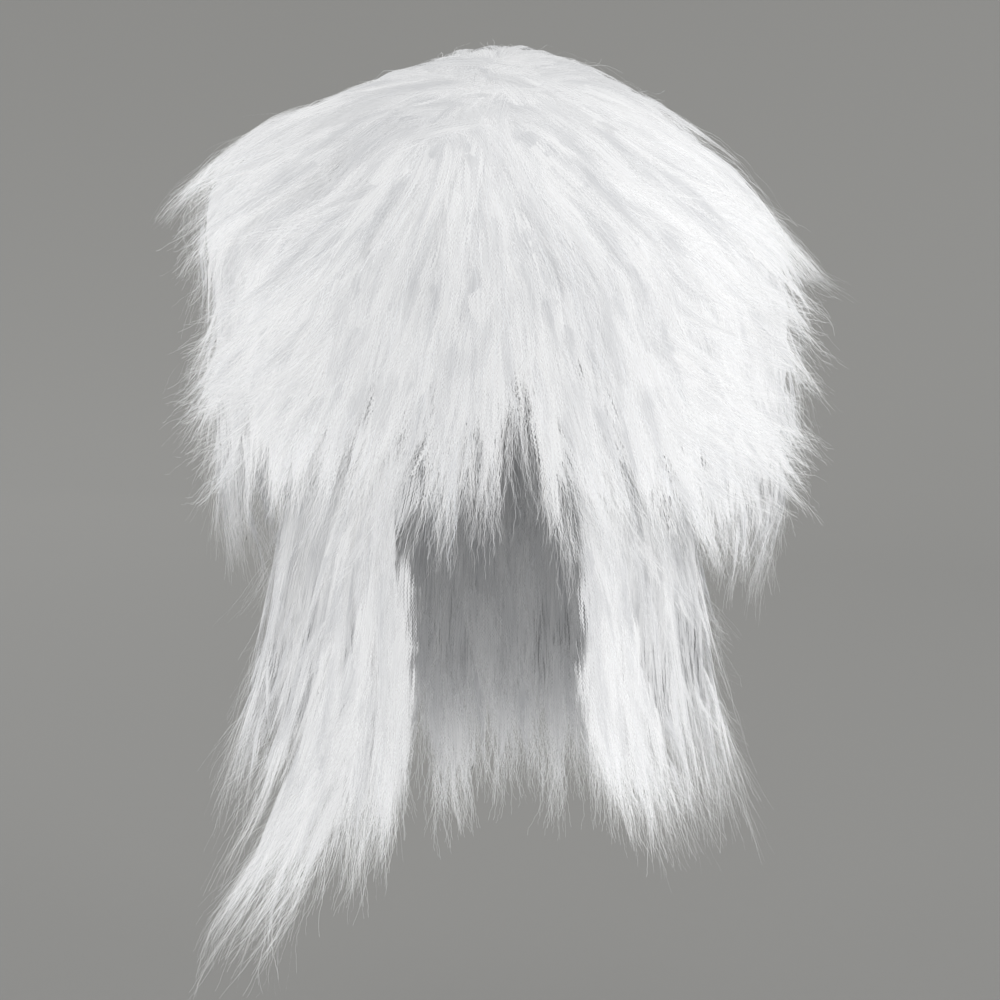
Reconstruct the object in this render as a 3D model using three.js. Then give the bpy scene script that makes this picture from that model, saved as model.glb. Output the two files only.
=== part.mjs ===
// A white layered wig: a net cap that carries a crown layer, a fringe, fluffed sides and back,
// and long locks at the front and nape.
// Millimetres, +Z up, the face looks along -Y. The origin is where the cap sits on the crown of the head.

import * as THREE from "three";
import { mergeVertices } from "three/addons/utils/BufferGeometryUtils.js";

const { clamp, degToRad, lerp, smoothstep } = THREE.MathUtils;

// The head hollow is half an ellipsoid, carried straight down below its widest level
const HEAD_HALF_BREADTH = 77;
const HEAD_HALF_LENGTH = 98;
const HEAD_RISE = 105;

// Hair flows from a whorl on the front of the crown to the widest level, and hangs from there
const WHORL_FORWARD_DEG = 35;
const WHORL_LEFT_DEG = 6;
const DROP_PER_STEP = 100;

// The cap's net wall, its tuck under the back of the head and how far down it is cut
const CAP_WALL = 2;
const NAPE_TUCK = 16;
const NAPE_LEVEL = 1.75;
const CAP_COLUMNS = 32;
const CAP_ROWS = 11;

// Clearances: a sewn root over the cap, the hair past its root, and one layer of hair over another
const SEAT_GAP = 0.7;
const HAIR_CLEAR = 3.5;
const CLEAR_RAMP = 0.12;
const LAYER_GAP = 3.6;
const COVER_PAST_TIP = 0.25;

// Hair thins to its tips and to the two ends of its row, and is creased between two locks
const TIP_EDGE = 2;
const TIP_TAPER_POWER = 4;
const END_SHARE = 0.35;
const END_TAPER_DEG = 9;
const CREASE_FULL_AT = 0.6;
const ROOT_RAMP = 0.25;

// Rows of facets stand closer near a sewn root, where the hair follows the round of the head
const ROW_EASE = 1.5;

const FULL_TURN = [-180, 180];
const HAIR_FINISH = { color: 0xf1f2f5, roughness: 0.5, metalness: 0 };
const NET_FINISH = { color: 0xe6e4df, roughness: 0.9, metalness: 0 };

// A place is given by its azimuth (0 front, 90 the wearer's left, which is +X), by how far along the flow
// it is (0 whorl, 1 widest level, then one more for each DROP_PER_STEP below) and by its rise off the head.
const headCentre = new THREE.Vector3(0, 0, -HEAD_RISE);
const whorl = new THREE.Vector3(
  -Math.sin(degToRad(WHORL_LEFT_DEG)),
  -Math.sin(degToRad(WHORL_FORWARD_DEG)),
  Math.cos(degToRad(WHORL_FORWARD_DEG)),
).normalize();

function levelDirection(azimuth) {
  const angle = degToRad(azimuth);
  return new THREE.Vector3(Math.sin(angle), -Math.cos(angle), 0);
}

function headRadius(direction) {
  return 1 / Math.hypot(
    direction.x / HEAD_HALF_BREADTH,
    direction.y / HEAD_HALF_LENGTH,
    direction.z / HEAD_RISE,
  );
}

function flowPoint(azimuth, along, rise) {
  const level = levelDirection(azimuth);
  const sweep = whorl.angleTo(level);
  const share = Math.min(along, 1);
  const direction = whorl.clone().multiplyScalar(Math.sin((1 - share) * sweep) / Math.sin(sweep));
  direction.addScaledVector(level, Math.sin(share * sweep) / Math.sin(sweep));
  const point = direction.clone().multiplyScalar(headRadius(direction) + rise).add(headCentre);
  point.z -= Math.max(along - 1, 0) * DROP_PER_STEP;
  return point;
}

// The cap's two faces draw in below the widest level, under the back of the head
function napeTuck(along) {
  const share = clamp((along - 1) / (NAPE_LEVEL - 1), 0, 1);
  return -NAPE_TUCK * share * share;
}

const capInner = (along) => napeTuck(along);
const capOuter = (along) => CAP_WALL + napeTuck(along);

// How far along the flow the cap is cut: high over the forehead, round the ears and low on the nape
const CAP_RIM = [
  { azimuth: 0, along: 0.72 },
  { azimuth: 35, along: 0.8 },
  { azimuth: 65, along: 1.2 },
  { azimuth: 90, along: 1.05 },
  { azimuth: 115, along: 1.15 },
  { azimuth: 140, along: 1.6 },
  { azimuth: 180, along: NAPE_LEVEL },
];

function capRim(azimuth) {
  const turn = Math.abs(THREE.MathUtils.euclideanModulo(azimuth + 180, 360) - 180);
  const next = Math.max(1, CAP_RIM.findIndex((row) => row.azimuth >= turn));
  const [a, b] = [CAP_RIM[next - 1], CAP_RIM[next]];
  return lerp(a.along, b.along, smoothstep(turn, a.azimuth, b.azimuth));
}

// The layers, from the top one down. Each row of locks says where a lock's tip lies round the head,
// how far along the flow the tip reaches, and the rise of its outer face at the belly and at the tip.
// A sag over 1 sets the belly lower. body is the layer's thickness, crease the dip between two locks and
// notch how much shorter the hair is there. columns and rows count facets round the arc and down the hair.
// The inner face lies on the cap up to lift[0], and from lift[1] is off it by room, over the layer below.

const CROWN = {
  arc: FULL_TURN,
  columns: 56,
  rows: 8,
  root: 0,
  rootRise: 19,
  sag: 1,
  body: 21,
  crease: 5,
  notch: 0.07,
  lift: [0.28, 0.55],
  room: 12,
  locks: [
    { azimuth: -166, tip: 1.16, belly: 30, flick: 64 },
    { azimuth: -140, tip: 1.06, belly: 46, flick: 84 },
    { azimuth: -116, tip: 1.0, belly: 55, flick: 98 },
    { azimuth: -94, tip: 0.9, belly: 60, flick: 113 },
    { azimuth: -72, tip: 1.0, belly: 51, flick: 92 },
    { azimuth: -50, tip: 1.02, belly: 40, flick: 60 },
    { azimuth: -28, tip: 1.0, belly: 32, flick: 43 },
    { azimuth: -8, tip: 0.98, belly: 28, flick: 37 },
    { azimuth: 12, tip: 1.0, belly: 28, flick: 37 },
    { azimuth: 32, tip: 1.0, belly: 31, flick: 43 },
    { azimuth: 54, tip: 1.04, belly: 39, flick: 66 },
    { azimuth: 76, tip: 1.06, belly: 43, flick: 95 },
    { azimuth: 96, tip: 1.1, belly: 47, flick: 112 },
    { azimuth: 120, tip: 1.06, belly: 44, flick: 96 },
    { azimuth: 146, tip: 1.1, belly: 36, flick: 80 },
    { azimuth: 171, tip: 1.16, belly: 29, flick: 64 },
  ],
};

const FRINGE = {
  arc: [-46, 46],
  columns: 30,
  rows: 8,
  root: 0.45,
  rootRise: 20,
  sag: 1,
  body: 13,
  crease: 4,
  notch: 0.14,
  lift: [0.55, 0.8],
  room: HAIR_CLEAR,
  under: CROWN,
  locks: [
    { azimuth: -41, tip: 2.2, belly: 44, flick: 36 },
    { azimuth: -31, tip: 2.06, belly: 40, flick: 33 },
    { azimuth: -21, tip: 2.05, belly: 37, flick: 30 },
    { azimuth: -12, tip: 2.31, belly: 36, flick: 28 },
    { azimuth: -4, tip: 2.08, belly: 35, flick: 26 },
    { azimuth: 3, tip: 2.02, belly: 35, flick: 26 },
    { azimuth: 10, tip: 1.66, belly: 34, flick: 29 },
    { azimuth: 17, tip: 2.24, belly: 35, flick: 27 },
    { azimuth: 25, tip: 2.46, belly: 37, flick: 29 },
    { azimuth: 34, tip: 2.3, belly: 40, flick: 33 },
    { azimuth: 42, tip: 2.26, belly: 44, flick: 37 },
  ],
};

const SIDE_RIGHT = {
  arc: [-138, -47.6],
  columns: 22,
  rows: 9,
  root: 0.42,
  rootRise: 24,
  sag: 0.85,
  body: 54,
  crease: 10,
  notch: 0.3,
  lift: [0.66, 1],
  room: 14,
  under: CROWN,
  locks: [
    { azimuth: -128, tip: 2.76, belly: 82, flick: 60 },
    { azimuth: -110, tip: 2.84, belly: 88, flick: 62 },
    { azimuth: -93, tip: 2.74, belly: 91, flick: 66 },
    { azimuth: -76, tip: 2.52, belly: 82, flick: 60 },
    { azimuth: -60, tip: 2.34, belly: 61, flick: 48 },
  ],
};

const SIDE_LEFT = {
  arc: [47.6, 138],
  columns: 22,
  rows: 9,
  root: 0.42,
  rootRise: 24,
  sag: 1.3,
  body: 54,
  crease: 10,
  notch: 0.28,
  lift: [0.66, 1],
  room: 14,
  under: CROWN,
  locks: [
    { azimuth: 58, tip: 2.56, belly: 63, flick: 46 },
    { azimuth: 74, tip: 2.74, belly: 88, flick: 58 },
    { azimuth: 92, tip: 2.82, belly: 98, flick: 60 },
    { azimuth: 110, tip: 2.8, belly: 91, flick: 58 },
    { azimuth: 128, tip: 2.72, belly: 82, flick: 58 },
  ],
};

const BACK = {
  arc: [139.6, 220.4],
  columns: 22,
  rows: 9,
  root: 0.48,
  rootRise: 22,
  sag: 1,
  body: 48,
  crease: 9,
  notch: 0.28,
  lift: [0.8, 1.15],
  room: 14,
  under: CROWN,
  locks: [
    { azimuth: 149, tip: 2.74, belly: 78, flick: 60 },
    { azimuth: 165, tip: 2.86, belly: 74, flick: 58 },
    { azimuth: 180, tip: 2.78, belly: 72, flick: 56 },
    { azimuth: 195, tip: 2.88, belly: 74, flick: 58 },
    { azimuth: 211, tip: 2.76, belly: 79, flick: 62 },
  ],
};

const LONG_RIGHT = {
  arc: [-136.6, -40],
  columns: 22,
  rows: 10,
  root: 0.88,
  rootRise: 7,
  sag: 1,
  body: 24,
  crease: 8,
  notch: 0.3,
  lift: [0.94, 1.3],
  room: HAIR_CLEAR,
  under: SIDE_RIGHT,
  locks: [
    { azimuth: -127, tip: 4.42, belly: 34, flick: 38 },
    { azimuth: -112, tip: 4.2, belly: 44, flick: 52 },
    { azimuth: -96, tip: 4.1, belly: 52, flick: 76 },
    { azimuth: -81, tip: 4.28, belly: 48, flick: 88 },
    { azimuth: -70, tip: 4.96, belly: 28, flick: 86 },
    { azimuth: -62, tip: 4.72, belly: 18, flick: 50 },
    { azimuth: -54, tip: 4.5, belly: 10, flick: 20 },
    { azimuth: -46, tip: 4.26, belly: 6, flick: 2 },
  ],
};

const LONG_LEFT = {
  arc: [40, 136.6],
  columns: 22,
  rows: 10,
  root: 0.88,
  rootRise: 7,
  sag: 1,
  body: 24,
  crease: 8,
  notch: 0.34,
  lift: [0.94, 1.3],
  room: HAIR_CLEAR,
  under: SIDE_LEFT,
  locks: [
    { azimuth: 47, tip: 4.1, belly: 4, flick: 2 },
    { azimuth: 58, tip: 4.44, belly: 8, flick: 14 },
    { azimuth: 70, tip: 4.24, belly: 24, flick: 34 },
    { azimuth: 83, tip: 4.3, belly: 40, flick: 60 },
    { azimuth: 98, tip: 4.16, belly: 42, flick: 58 },
    { azimuth: 113, tip: 4.3, belly: 38, flick: 44 },
    { azimuth: 127, tip: 4.42, belly: 34, flick: 36 },
  ],
};

const LONG_BACK = {
  arc: [137.4, 222.6],
  columns: 22,
  rows: 9,
  root: 1.1,
  rootRise: 6,
  sag: 1,
  body: 24,
  crease: 7,
  notch: 0.4,
  lift: [1.5, 1.9],
  room: HAIR_CLEAR,
  under: BACK,
  locks: [
    { azimuth: 147, tip: 4.4, belly: 26, flick: 30 },
    { azimuth: 163, tip: 4.62, belly: 22, flick: 24 },
    { azimuth: 179, tip: 4.5, belly: 20, flick: 22 },
    { azimuth: 195, tip: 4.66, belly: 22, flick: 24 },
    { azimuth: 212, tip: 4.42, belly: 26, flick: 30 },
  ],
};

// A layer's lock figures at one azimuth. between is 0 on a lock and 1 midway to the next, or at an end.
function lockAt(layer, azimuth) {
  const [start, end] = layer.arc;
  const round = end - start === 360;
  const first = layer.locks[0];
  const last = layer.locks.at(-1);
  const beforeFirst = round ? last.azimuth - 360 : 2 * start - first.azimuth;
  const afterLast = round ? first.azimuth + 360 : 2 * end - last.azimuth;
  const rows = [
    { ...(round ? last : first), azimuth: beforeFirst },
    ...layer.locks,
    { ...(round ? first : last), azimuth: afterLast },
  ];
  const next = Math.max(1, rows.findIndex((row) => row.azimuth >= azimuth));
  const [a, b] = [rows[next - 1], rows[next]];
  const share = (azimuth - a.azimuth) / (b.azimuth - a.azimuth);
  const mix = smoothstep(share, 0, 1);
  return {
    tip: lerp(a.tip, b.tip, mix),
    belly: lerp(a.belly, b.belly, mix),
    flick: lerp(a.flick, b.flick, mix),
    between: Math.sin(Math.PI * share),
  };
}

// A parabola through the root, belly and tip figures
function bow(root, belly, tip, share) {
  const rest = 1 - share;
  return root * rest * (rest - share) + 4 * belly * share * rest + tip * share * (share - rest);
}

function tipAt(layer, azimuth) {
  const lock = lockAt(layer, azimuth);
  return lock.tip - layer.notch * lock.between;
}

// Where a layer's inner face lies while it is on the cap
function seatRise(layer, along) {
  const past = smoothstep(along, layer.root, layer.root + CLEAR_RAMP);
  return capOuter(along) + lerp(SEAT_GAP, HAIR_CLEAR, past);
}

// The outer face with no creases, rising from the sewn root
function plainOuter(layer, azimuth, along) {
  const lock = lockAt(layer, azimuth);
  const share = (along - layer.root) / (lock.tip - layer.root);
  const full = bow(layer.rootRise, lock.belly, lock.flick, Math.max(share, 0) ** layer.sag);
  if (layer.root === 0) return full;
  const seat = capOuter(along) + SEAT_GAP + TIP_EDGE;
  return lerp(seat, full, smoothstep(along, layer.root, layer.root + ROOT_RAMP));
}

// The inner face as if every lock were full length and the row had no ends
function plainInner(layer, azimuth, along) {
  const length = lockAt(layer, azimuth).tip - layer.root;
  const share = clamp((along - layer.root) / length, 0, 1);
  const thick = lerp(layer.body, TIP_EDGE, share * share);
  const lifted = Math.max(plainOuter(layer, azimuth, along) - thick, capOuter(along) + layer.room);
  return lerp(seatRise(layer, along), lifted, smoothstep(along, ...layer.lift));
}

// The outer face with its creases, kept under the layer above
function outerRise(layer, azimuth, along) {
  const share = (along - layer.root) / (tipAt(layer, azimuth) - layer.root);
  const dip = layer.crease * lockAt(layer, azimuth).between * smoothstep(share, 0, CREASE_FULL_AT);
  const creased = plainOuter(layer, azimuth, along) - dip;
  const own = Math.max(creased, plainInner(layer, azimuth, along) + TIP_EDGE);
  const over = layer.under;
  const covered = over && along < lockAt(over, azimuth).tip + COVER_PAST_TIP;
  return covered ? Math.min(own, plainInner(over, azimuth, along) - LAYER_GAP) : own;
}

// The inner face, drawn up to the outer one at the tips and at the ends of the row
function innerRise(layer, azimuth, along) {
  const [start, end] = layer.arc;
  const fromEnd = end - start === 360 ? END_TAPER_DEG : Math.min(azimuth - start, end - azimuth);
  const ends = lerp(END_SHARE, 1, smoothstep(fromEnd, 0, END_TAPER_DEG));
  const share = (along - layer.root) / (tipAt(layer, azimuth) - layer.root);
  const outer = outerRise(layer, azimuth, along);
  const full = Math.max(outer - plainInner(layer, azimuth, along), TIP_EDGE);
  const thick = lerp(full * ends, TIP_EDGE, share ** TIP_TAPER_POWER);
  return outer - Math.max(thick, TIP_EDGE);
}

// One closed wall: down the outer face from root to tip, back up the inner face, and swept round its arc
function wallGeometry({ arc, columns, rows, root, tip, outer, inner }) {
  const spread = (share) => (root > 0 ? share ** ROW_EASE : share);
  const [start, end] = arc;
  const round = end - start === 360;
  const loopLength = 2 * (rows + 1);
  const positions = [];
  const triangles = [];
  const at = (column, place) => (column % (columns + 1)) * loopLength + (place % loopLength);

  for (let column = 0; column <= columns; column++) {
    const azimuth = lerp(start, end, column / columns);
    const places = Array.from({ length: rows + 1 }, (_, row) => spread(row / rows));
    const alongs = places.map((share) => lerp(root, tip(azimuth), share));
    const outerLine = alongs.map((along) => flowPoint(azimuth, along, outer(azimuth, along)));
    const innerLine = alongs.map((along) => flowPoint(azimuth, along, inner(azimuth, along)));
    for (const point of [...outerLine, ...innerLine.reverse()]) positions.push(point.x, point.y, point.z);
  }
  for (let column = 0; column < columns; column++) {
    for (let place = 0; place < loopLength; place++) {
      const [a, b] = [at(column, place), at(column, place + 1)];
      const [c, d] = [at(column + 1, place + 1), at(column + 1, place)];
      triangles.push(a, b, c, a, c, d);
    }
  }
  for (let row = 0; row < rows && !round; row++) {
    const facing = loopLength - 1 - row;
    const [a, b, c, d] = [row, facing, facing - 1, row + 1].map((place) => at(0, place));
    triangles.push(a, b, c, a, c, d);
    const [e, f, g, h] = [row, row + 1, facing - 1, facing].map((place) => at(columns, place));
    triangles.push(e, f, g, e, g, h);
  }
  const geometry = new THREE.BufferGeometry();
  geometry.setAttribute("position", new THREE.Float32BufferAttribute(positions, 3));
  geometry.setIndex(triangles);
  return withoutSlivers(mergeVertices(geometry));
}

// Triangles that close up at the whorl, where all the columns meet in one point, are dropped
function withoutSlivers(geometry) {
  const corners = geometry.index.array;
  const kept = [];
  for (let i = 0; i < corners.length; i += 3) {
    const [a, b, c] = corners.slice(i, i + 3);
    if (a !== b && b !== c && c !== a) kept.push(a, b, c);
  }
  geometry.setIndex(kept);
  return geometry;
}

const wig = new THREE.Group();

function addPiece(name, geometry, finish) {
  const mesh = new THREE.Mesh(geometry, new THREE.MeshStandardMaterial(finish));
  mesh.name = name;
  wig.add(mesh);
}

function addHair(name, layer) {
  const geometry = wallGeometry({
    ...layer,
    tip: (azimuth) => tipAt(layer, azimuth),
    outer: (azimuth, along) => outerRise(layer, azimuth, along),
    inner: (azimuth, along) => innerRise(layer, azimuth, along),
  });
  addPiece(name, geometry, HAIR_FINISH);
}

const capGeometry = wallGeometry({
  arc: FULL_TURN,
  columns: CAP_COLUMNS,
  rows: CAP_ROWS,
  root: 0,
  tip: capRim,
  outer: (azimuth, along) => capOuter(along),
  inner: (azimuth, along) => capInner(along),
});
addPiece("wig_cap", capGeometry, NET_FINISH);
addHair("crown_layer", CROWN);
addHair("fringe", FRINGE);
addHair("side_right", SIDE_RIGHT);
addHair("side_left", SIDE_LEFT);
addHair("back_layer", BACK);
addHair("long_right", LONG_RIGHT);
addHair("long_left", LONG_LEFT);
addHair("long_back", LONG_BACK);

export default wig;
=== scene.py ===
# %% [markdown]
# A white layered wig, from its solid frame to its finished look.
# The frame holds a thin cap and eight layers of hair as plain closed shapes, in metres, with +Z up.
# Real hair is a cloud of fine fibres.
# So each plain shape becomes a soft body with locks and thousands of strands over it.
# The frame's own box is kept from the start, because the finished hair has to stay close to it.

# %% Load the frame
import math

import bpy
import numpy as np
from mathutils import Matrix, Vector
from mathutils.bvhtree import BVHTree


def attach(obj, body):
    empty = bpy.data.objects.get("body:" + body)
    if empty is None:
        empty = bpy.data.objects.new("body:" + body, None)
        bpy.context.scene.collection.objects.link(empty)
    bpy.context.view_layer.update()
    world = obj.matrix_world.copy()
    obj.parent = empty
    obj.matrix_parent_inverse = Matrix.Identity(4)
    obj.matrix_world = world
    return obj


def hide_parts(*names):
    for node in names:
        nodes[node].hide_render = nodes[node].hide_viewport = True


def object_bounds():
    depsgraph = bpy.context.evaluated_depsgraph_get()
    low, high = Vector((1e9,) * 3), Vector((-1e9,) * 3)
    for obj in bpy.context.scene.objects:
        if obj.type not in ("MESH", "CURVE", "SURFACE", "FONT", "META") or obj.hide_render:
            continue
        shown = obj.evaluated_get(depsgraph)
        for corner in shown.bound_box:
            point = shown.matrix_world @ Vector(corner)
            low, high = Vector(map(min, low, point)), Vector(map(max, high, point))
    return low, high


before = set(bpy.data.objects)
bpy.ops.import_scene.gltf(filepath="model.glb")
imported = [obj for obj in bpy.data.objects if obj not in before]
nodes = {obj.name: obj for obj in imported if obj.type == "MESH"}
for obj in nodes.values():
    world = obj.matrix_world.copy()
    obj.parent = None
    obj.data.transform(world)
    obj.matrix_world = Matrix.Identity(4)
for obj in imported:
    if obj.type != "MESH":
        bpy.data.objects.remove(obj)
cad_low, cad_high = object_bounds()
bpy.ops.object.select_all(action="DESELECT")
print("layers", sorted(nodes))
print("box", [round(x, 3) for x in cad_low], [round(x, 3) for x in cad_high])

# %% [markdown]
# The camera stands level with the top of the wig and looks a little down on it, from about a metre away.
# A long lens at that distance keeps the near fringe and the far back hair at nearly the same scale.
# The lens is set by its focal length, and the sensor stays at Blender's usual 36 mm.

# %% Place the camera
VIEW_TARGET = Vector((0.0, 0.0, -0.230))
VIEW_DISTANCE = 1.150
VIEW_DOWN_DEG = 8.0
LENS_MM = 73.9
VIEW_SHIFT = 0.003

down = math.radians(VIEW_DOWN_DEG)
view_place = VIEW_TARGET + VIEW_DISTANCE * Vector((0, -math.cos(down), math.sin(down)))
bpy.ops.object.camera_add(location=view_place, rotation=(math.pi / 2 - down, 0, 0))
camera = bpy.context.object
camera.data.lens = LENS_MM
camera.data.shift_x = VIEW_SHIFT
bpy.context.scene.camera = camera
print("camera at", [round(x, 3) for x in view_place])

# %% [markdown]
# The stage is a plain pale bowl: a round floor whose rim is pulled up into a wall.
# A wide bevel between the two leaves no corner to see.
# A flat plane would do from one side only, and the wig is looked at from all round.
# It is grey and not white, so that white hair stands out against it.

# %% Build the stage
STAGE_RADIUS = 3.4
STAGE_WALL = 4.2
STAGE_BEND = 1.5
FLOOR_BELOW_TIPS = 0.09
STAGE_GREY = (0.27, 0.267, 0.256, 1)

floor_level = cad_low.z - FLOOR_BELOW_TIPS
bpy.ops.mesh.primitive_circle_add(vertices=96, radius=STAGE_RADIUS, fill_type="NGON",
                                  location=(0, 0, floor_level))
stage = bpy.context.object
stage.name = "pale_stage"
bpy.ops.object.mode_set(mode="EDIT")
bpy.ops.mesh.select_all(action="SELECT")
bpy.ops.mesh.extrude_region_move(TRANSFORM_OT_translate={"value": (0, 0, STAGE_WALL)})
bpy.ops.mesh.delete(type="ONLY_FACE")
bpy.ops.object.mode_set(mode="OBJECT")
bend = stage.modifiers.new("bend", "BEVEL")
bend.width = STAGE_BEND
bend.segments = 16
bpy.ops.object.modifier_apply(modifier=bend.name)
bpy.ops.object.shade_smooth()
stage_paint = bpy.data.materials.new("stage_paint")
stage_paint.use_nodes = True
stage_shader = stage_paint.node_tree.nodes["Principled BSDF"]
stage_shader.inputs["Base Color"].default_value = STAGE_GREY
stage_shader.inputs["Roughness"].default_value = 0.9
stage.data.materials.append(stage_paint)
stage.visible_diffuse = False
stage.visible_shadow = False
print("stage faces", len(stage.data.polygons), "floor at", round(floor_level, 3))

# %% [markdown]
# Soft studio light comes from large panels. The key panel stands at the right, well round to the side.
# A weaker panel fills the other side, and a faint one hangs overhead.
# The last stands behind, and parts the edges of the hair from the backdrop.
# All but the overhead one are outside the bowl, which casts no shadow, so they make no bright spot on it.
# An even bright sky does most of the work, because light scattered through white hair leaves few dark gaps.
# The Standard view keeps a white fibre white, where a filmic view would grey it.
# Frayed hair lies many layers deep, so a ray may pass through more gaps than is usual before it stops.

# %% Light the stage
PANELS = (
    {"name": "key", "place": (3.9, -1.9, 0.95), "size": 2.8, "watts": 138},
    {"name": "fill", "place": (-4.05, -1.7, 0.75), "size": 2.8, "watts": 106},
    {"name": "overhead", "place": (0.2, 0.1, 1.9), "size": 1.8, "watts": 1},
    {"name": "behind", "place": (-1.2, 4.0, 1.8), "size": 2.6, "watts": 45},
)
SKY_TINT = (0.98, 0.99, 1.0, 1)
SKY_STRENGTH = 0.57

for panel in PANELS:
    place = Vector(panel["place"])
    facing = (VIEW_TARGET - place).to_track_quat("-Z", "Y").to_euler()
    bpy.ops.object.light_add(type="AREA", location=place, rotation=facing)
    lamp = bpy.context.object
    lamp.name = panel["name"] + "_panel"
    lamp.data.size = panel["size"]
    lamp.data.energy = panel["watts"]
    print(lamp.name, panel["watts"], "W")

scene = bpy.context.scene
scene.world = bpy.data.worlds.new("studio_sky")
scene.world.use_nodes = True
sky = scene.world.node_tree.nodes["Background"]
sky.inputs["Color"].default_value = SKY_TINT
sky.inputs["Strength"].default_value = SKY_STRENGTH
scene.view_settings.view_transform = "Standard"
scene.cycles.transparent_max_bounces = 32
scene.cycles.max_bounces = 3
scene.cycles.diffuse_bounces = 1

# %% [markdown]
# Hair is easiest to comb in its own coordinates. The wig's hair grows out from a whorl on the crown.
# Azimuth says which way round the head a strand runs: 0 is the front, 90 the wearer's left.
# Along says how far it has run: 0 at the whorl and 1 level with the middle of the head.
# Below that it hangs, and each 1 more is 0.1 m of fall.
# Rise is the height over the head. These are the same three numbers that shaped the solid layers.
# One function goes from them to a place, and another goes back again.

# %% Flow coordinates
HEAD_HALF = np.array((0.077, 0.098, 0.105))
HEAD_CENTRE = np.array((0.0, 0.0, -0.105))
WHORL_FORWARD = math.radians(35)
WHORL_ASIDE = math.radians(6)
DROP_PER_STEP = 0.1

whorl = np.array((-math.sin(WHORL_ASIDE), -math.sin(WHORL_FORWARD), math.cos(WHORL_FORWARD)))
whorl /= np.linalg.norm(whorl)


def flow_points(azimuth, along, rise):
    """Places on the hair's flow, and the outward direction at each."""
    azimuth, along, rise = np.broadcast_arrays(azimuth, along, rise)
    level = np.stack((np.sin(azimuth), -np.cos(azimuth), np.zeros(azimuth.shape)), -1)
    sweep = np.arccos(level @ whorl)
    share = np.minimum(along, 1)
    from_whorl = np.sin((1 - share) * sweep) / np.sin(sweep)
    from_level = np.sin(share * sweep) / np.sin(sweep)
    out = from_whorl[..., None] * whorl + from_level[..., None] * level
    radius = 1 / np.linalg.norm(out / HEAD_HALF, axis=-1)
    places = HEAD_CENTRE + out * (radius + rise)[..., None]
    places[..., 2] -= np.maximum(along - 1, 0) * DROP_PER_STEP
    return places, out


def flow_of(places):
    """Azimuth, along and rise of places round the head."""
    offset = places - HEAD_CENTRE
    hanging = offset[:, 2] < 0
    drop = np.where(hanging, -offset[:, 2], 0)
    offset[:, 2] += drop
    reach = np.linalg.norm(offset, axis=1)
    out = offset / reach[:, None]
    level = out * whorl[2] - whorl * out[:, 2:]
    level /= np.linalg.norm(level, axis=1)[:, None]
    turned = np.arccos(np.clip(out @ whorl, -1, 1))
    along = turned / np.arccos(level @ whorl) + drop / DROP_PER_STEP
    rise = reach - 1 / np.linalg.norm(out / HEAD_HALF, axis=1)
    return np.arctan2(level[:, 0], -level[:, 1]), along, rise


there, _ = flow_points(np.array((0.5, -2.0)), np.array((0.6, 2.4)), np.array((0.03, 0.02)))
print("there and back", [np.round(x, 3).tolist() for x in flow_of(there)])

# %% [markdown]
# Before combing, each solid layer is measured.
# Rays go in from outside and out from inside, on a grid of the flow.
# They give the rise of the layer's outer and inner faces, and how far along its roots and tips lie.
# Past the tips the tables run on in the same line, so that a strand can end a little outside the solid.

# %% Survey the layers
HAIR_LAYERS = ("crown_layer", "fringe", "side_right", "side_left", "back_layer",
               "long_right", "long_left", "long_back")
AZIMUTH_STEP = math.radians(2)
ALONG_STEP = 0.04
AZIMUTHS = np.arange(180) * AZIMUTH_STEP - math.pi
ALONGS = np.arange(140) * ALONG_STEP
OUTSIDE = 0.25
INSIDE = -0.06

depsgraph = bpy.context.evaluated_depsgraph_get()


def survey(node):
    """Rise of a layer's outer and inner faces, with no number where the layer has none."""
    tree = BVHTree.FromObject(nodes[node], depsgraph)
    faces = np.full((2, len(AZIMUTHS), len(ALONGS)), np.nan)
    for i, azimuth in enumerate(AZIMUTHS):
        outside, out = flow_points(azimuth, ALONGS, OUTSIDE)
        inside, _ = flow_points(azimuth, ALONGS, INSIDE)
        for j, way in enumerate(out):
            inward = tree.ray_cast(outside[j], -way)[3]
            outward = tree.ray_cast(inside[j], way)[3]
            if inward is not None and outward is not None:
                faces[:, i, j] = OUTSIDE - inward, INSIDE + outward
    return faces


def run_on(table):
    """The table with its columns carried on past roots and tips, and copied past the ends of the arc."""
    full = table.copy()
    held = [i for i in range(len(table)) if np.isfinite(table[i]).sum() > 3]
    for i in held:
        there = np.flatnonzero(np.isfinite(table[i]))
        full[i] = np.interp(ALONGS, ALONGS[there], table[i][there])
        slope = (table[i][there[-1]] - table[i][there[-3]]) / 2
        past = np.arange(len(ALONGS)) - there[-1]
        full[i] = np.where(past > 0, full[i] + slope * np.minimum(past, 8), full[i])
    for i in range(len(table)):
        if i not in held:
            apart = [abs((i - k + 90) % 180 - 90) for k in held]
            full[i] = full[held[int(np.argmin(apart))]]
    return full


def look_up(table, azimuth, along):
    """Values of a table between its grid points."""
    column = ((azimuth + math.pi) / AZIMUTH_STEP) % len(AZIMUTHS)
    row = np.clip(along / ALONG_STEP, 0, len(ALONGS) - 1.001)
    i = column.astype(int) % len(AZIMUTHS)
    j = row.astype(int)
    across, down = column % 1, row % 1
    near = table[i, j] * (1 - down) + table[i, j + 1] * down
    far = table[(i + 1) % len(AZIMUTHS), j] * (1 - down) + table[(i + 1) % len(AZIMUTHS), j + 1] * down
    return near * (1 - across) + far * across


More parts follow.
